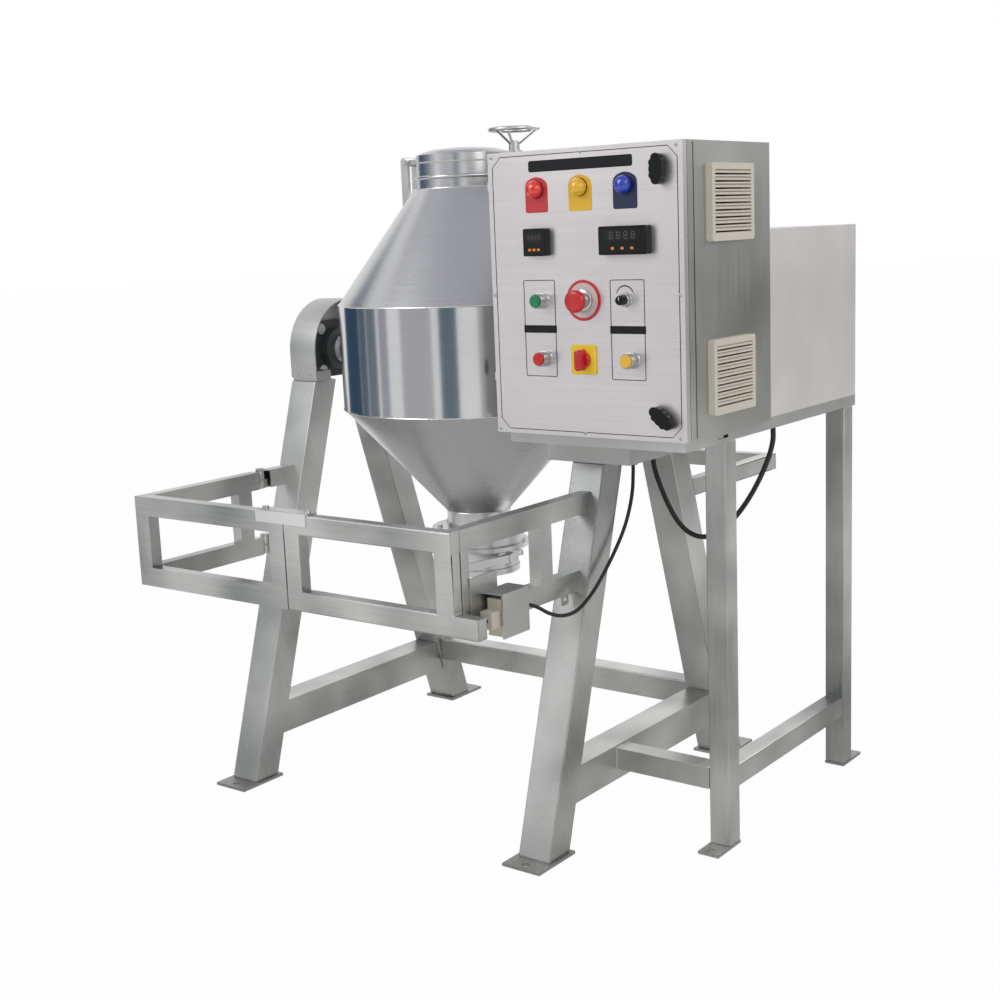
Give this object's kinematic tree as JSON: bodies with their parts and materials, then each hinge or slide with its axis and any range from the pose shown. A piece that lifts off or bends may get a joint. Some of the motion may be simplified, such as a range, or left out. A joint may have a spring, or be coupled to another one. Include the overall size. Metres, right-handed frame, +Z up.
{
  "type": "double cone mixer",
  "caption": "Stainless double cone mixer: a vessel turned end over end on leaning trestles, with a drive cabinet, a tube guard with a gate, a clamped lid and an outlet valve.",
  "frame": {"origin": "centre of the trestles' four anchor holes, on the floor under the middle of the vessel", "axes": "+X along the vessel's turning axis towards the drive, +Y to the rear, +Z up"},
  "size_m": [1.135, 1.146, 1.3639],
  "materials": {
    "vessel_steel": "satin, polished band",
    "tube_steel": "brushed",
    "plate_steel": "brushed",
    "panel_steel": "fine brushed",
    "machined_steel": "polished",
    "cast_housing": "painted casting",
    "drive_paint": "enamel",
    "gasket_rubber": "silicone",
    "zinc_plate": "passivated",
    "fan_plastic": "moulded",
    "vent_plastic": "moulded",
    "black_plastic": "moulded",
    "lamp_lens": "clear moulded",
    "bezel_metal": "satin",
    "green_plastic": "moulded",
    "red_plastic": "moulded",
    "yellow_plastic": "moulded",
    "switch_case": "moulded",
    "cable_sheath": "sheath"
  },
  "bodies": {
    "frame": {"idle_front_leg": "tube_steel", "idle_rear_leg": "tube_steel", "drive_front_leg": "tube_steel", "drive_rear_leg": "tube_steel", "frame_beams": "tube_steel", "foot_plates": "plate_steel", "stand_legs": "tube_steel", "base_tray": "plate_steel", "head_box": "plate_steel", "bearing_seats": "plate_steel", "bearing_housings": "cast_housing", "bearing_bolts": "machined_steel", "idle_bearing_cover": "plate_steel", "gearbox": "drive_paint", "drive_motor": "drive_paint", "drive_casing": "panel_steel", "cabinet_body": "panel_steel", "component_plate": "zinc_plate", "vent_grilles": "vent_plastic", "guard_stubs": "tube_steel", "fixed_side_frame": "tube_steel", "rear_guard": "tube_steel", "switch_bracket": "plate_steel", "limit_switch": "switch_case", "cable_glands": "black_plastic", "switch_cable": "cable_sheath", "drive_cable": "cable_sheath"},
    "vessel": {"trunnion_shafts": "machined_steel", "bearing_rings": "machined_steel", "vessel_shell": "vessel_steel", "outlet_spool": "machined_steel", "valve_body": "machined_steel", "outlet_clamp": "machined_steel", "vessel_lugs": "machined_steel", "lid_hinge_pin": "machined_steel", "shaft_coupling": "cast_housing"},
    "lid": {"lid": "vessel_steel", "lid_gasket": "gasket_rubber"},
    "clamp_nut": {"clamp_washer": "machined_steel"},
    "handwheel": {"clamp_wheel": "machined_steel"},
    "valve": {"valve_disc": "machined_steel", "valve_lever": "machined_steel"},
    "door": {"cabinet_door": "panel_steel", "door_gasket": "gasket_rubber", "pilot_lamps": "lamp_lens", "panel_meters": "black_plastic", "button_bezels": "bezel_metal"},
    "upper_lock": {"upper_door_knob": "black_plastic"},
    "lower_lock": {"lower_door_knob": "black_plastic"},
    "start_cap": {"start_button": "green_plastic"},
    "stop_cap": {"stop_button": "red_plastic"},
    "inch_cap": {"inch_button": "yellow_plastic"},
    "emergency_cap": {"emergency_button": "red_plastic"},
    "speed_dial": {"speed_knob": "black_plastic"},
    "mode_dial": {"mode_switch": "red_plastic"},
    "fan": {"vent_fan": "fan_plastic"},
    "guard_gate": {"gate_side_frame": "tube_steel", "gate_front_left": "tube_steel", "gate_front_right": "tube_steel"},
    "plunger": {"switch_plunger": "black_plastic"}
  },
  "joints": [
    {"name": "vessel_spin", "type": "hinge", "parent": "frame", "child": "vessel", "pos_m": [0, 0, 0.914], "axis": [1, 0, 0], "continuous": true},
    {"name": "lid_hinge", "type": "hinge", "parent": "vessel", "child": "lid", "pos_m": [-0.145, 0, 1.311], "axis": [0, -1, 0], "range_deg": [0, 110]},
    {"name": "clamp_lift", "type": "slide", "parent": "lid", "child": "clamp_nut", "axis": [0, 0, 1], "range_m": [0, 0.0121]},
    {"name": "clamp_turn", "type": "hinge", "parent": "clamp_nut", "child": "handwheel", "pos_m": [0.13, 0, 1.33], "axis": [0, 0, 1], "range_deg": [0, 1080]},
    {"name": "valve_turn", "type": "hinge", "parent": "vessel", "child": "valve", "pos_m": [0, 0, 0.484], "axis": [0.9659, -0.2588, 0], "range_deg": [0, 90]},
    {"name": "gate_hinge", "type": "hinge", "parent": "frame", "child": "guard_gate", "pos_m": [-0.3915, -0.262, 0.58], "axis": [0, 0, -1], "range_deg": [0, 110]},
    {"name": "door_hinge", "type": "hinge", "parent": "frame", "child": "door", "pos_m": [0.2855, -0.285, 1.048], "axis": [0, 0, -1], "range_deg": [0, 100]},
    {"name": "upper_lock_turn", "type": "hinge", "parent": "door", "child": "upper_lock", "pos_m": [0.648, -0.299, 1.253], "axis": [0, -1, 0], "range_deg": [0, 90]},
    {"name": "lower_lock_turn", "type": "hinge", "parent": "door", "child": "lower_lock", "pos_m": [0.648, -0.299, 0.84], "axis": [0, 1, 0], "range_deg": [0, 90]},
    {"name": "start_press", "type": "slide", "parent": "door", "child": "start_cap", "axis": [0, 1, 0], "range_m": [0, 0.004], "stiffness_N_per_m": 300},
    {"name": "stop_press", "type": "slide", "parent": "door", "child": "stop_cap", "axis": [0, 1, 0], "range_m": [0, 0.004], "stiffness_N_per_m": 300},
    {"name": "inch_press", "type": "slide", "parent": "door", "child": "inch_cap", "axis": [0, 1, 0], "range_m": [0, 0.004], "stiffness_N_per_m": 300},
    {"name": "emergency_press", "type": "slide", "parent": "door", "child": "emergency_cap", "axis": [0, 1, 0], "range_m": [0, 0.004]},
    {"name": "speed_turn", "type": "hinge", "parent": "door", "child": "speed_dial", "pos_m": [0.576, -0.299, 1.039], "axis": [0, 1, 0], "range_deg": [-150, 150]},
    {"name": "mode_turn", "type": "hinge", "parent": "door", "child": "mode_dial", "pos_m": [0.486, -0.299, 0.935], "axis": [0, 1, 0], "range_deg": [0, 90]},
    {"name": "fan_spin", "type": "hinge", "parent": "frame", "child": "fan", "pos_m": [0.673, -0.149, 0.9], "axis": [1, 0, 0], "continuous": true},
    {"name": "plunger_press", "type": "slide", "parent": "frame", "child": "plunger", "axis": [0, 1, 0], "range_m": [0, 0.004], "stiffness_N_per_m": 200}
  ],
  "couplings": [
    {"joint": "clamp_lift", "follows": "clamp_turn", "m_per_rad": 0.00063662}
  ]
}
